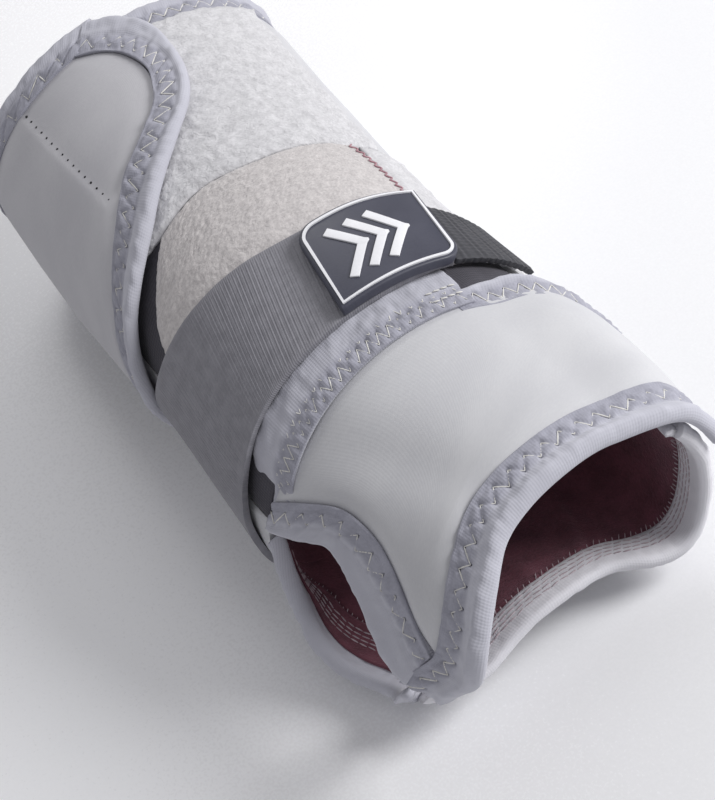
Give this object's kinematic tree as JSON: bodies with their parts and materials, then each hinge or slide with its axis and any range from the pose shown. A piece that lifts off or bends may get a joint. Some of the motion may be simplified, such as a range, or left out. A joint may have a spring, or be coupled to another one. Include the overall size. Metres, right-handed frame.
{
  "type": "wrist support brace",
  "caption": "Left-hand wrist brace: padded fabric wrap with thumb hole, peel closures, elastic wrist strap with rubber tag, and a slide-out palm splint.",
  "frame": {"origin": "on the underside of the splint pocket, which the brace lies on, straight below the limb's axis at the wrist", "axes": "+X along the limb towards the fingers, +Z from the palm side to the back of the hand, +Y towards the little finger side, so the thumb is at -Y"},
  "size_m": [0.2085, 0.0944, 0.067],
  "materials": {
    "lining_fabric": "brushed microfibre, burgundy",
    "smooth_fabric": "smooth laminated knit, light grey",
    "dark_fabric": "woven webbing, charcoal",
    "foam": "closed-cell foam",
    "stay_plastic": "moulded stay",
    "binding_tape": "folded knit binding tape, lavender grey, zigzag stitched",
    "pale_binding": "folded knit binding tape, pale grey, zigzag stitched",
    "loop_pile": "brushed loop pile, off-white",
    "velour": "short velour nap, warm beige grey",
    "elastic_webbing": "ribbed elastic webbing, mid grey",
    "tag_rubber": "moulded soft rubber, slate",
    "motif_rubber": "moulded soft rubber, white",
    "hook_plastic": "hook tape",
    "splint_metal": "rolled strip, satin"
  },
  "bodies": {
    "brace": {"forearm_lining": "lining_fabric", "forearm_volar_panel": "smooth_fabric", "forearm_dorsal_cover": "dark_fabric", "foam_core": "foam", "dorsal_stays": "stay_plastic", "proximal_binding": "binding_tape", "loop_panel": "loop_pile", "velour_panel": "velour", "ulnar_loop_panel": "loop_pile", "wrist_seam_band": "binding_tape", "hand_dorsal_lining": "lining_fabric", "hand_dorsal_panel": "smooth_fabric", "palm_lining": "lining_fabric", "palm_pad": "foam", "palm_cover": "smooth_fabric", "ulnar_lining": "lining_fabric", "ulnar_panel": "smooth_fabric", "closure_loop_patch": "loop_pile", "distal_dorsal_binding": "binding_tape", "distal_volar_binding": "pale_binding", "thumb_dorsal_binding": "binding_tape", "thumb_volar_binding": "pale_binding", "strap_root": "elastic_webbing", "side_flap_root": "smooth_fabric", "underside_webbing": "dark_fabric", "splint_pocket": "dark_fabric"},
    "wrist_strap": {"elastic_strap": "elastic_webbing", "rubber_tag": "tag_rubber", "tag_motif": "motif_rubber", "hook_tab": "dark_fabric", "strap_hook_pad": "hook_plastic"},
    "side_flap": {"side_flap": "smooth_fabric", "side_flap_binding": "binding_tape", "flap_hook_pad": "hook_plastic"},
    "hand_closure": {"hand_closure": "smooth_fabric", "closure_binding": "binding_tape", "closure_lining": "lining_fabric", "closure_hook_pad": "hook_plastic"},
    "splint": {"volar_splint": "splint_metal"}
  },
  "joints": [
    {"name": "wrist_strap_peel", "type": "hinge", "parent": "brace", "child": "wrist_strap", "pos_m": [0.02, -0.04455, 0.03], "axis": [0.9982, -0.0539, 0.0251], "range_deg": [0, 110]},
    {"name": "side_flap_peel", "type": "hinge", "parent": "brace", "child": "side_flap", "pos_m": [-0.05075, -0.0437, 0.02938], "axis": [0.9995, -0.0326, -0.0002], "range_deg": [0, 100]},
    {"name": "hand_closure_peel", "type": "hinge", "parent": "brace", "child": "hand_closure", "pos_m": [0.0665, 0.02233, 0.05506], "axis": [0.9968, 0.0591, -0.0537], "range_deg": [0, 70]},
    {"name": "splint_slide", "type": "slide", "parent": "brace", "child": "splint", "axis": [-1, 0, 0], "range_m": [0, 0.15]}
  ]
}
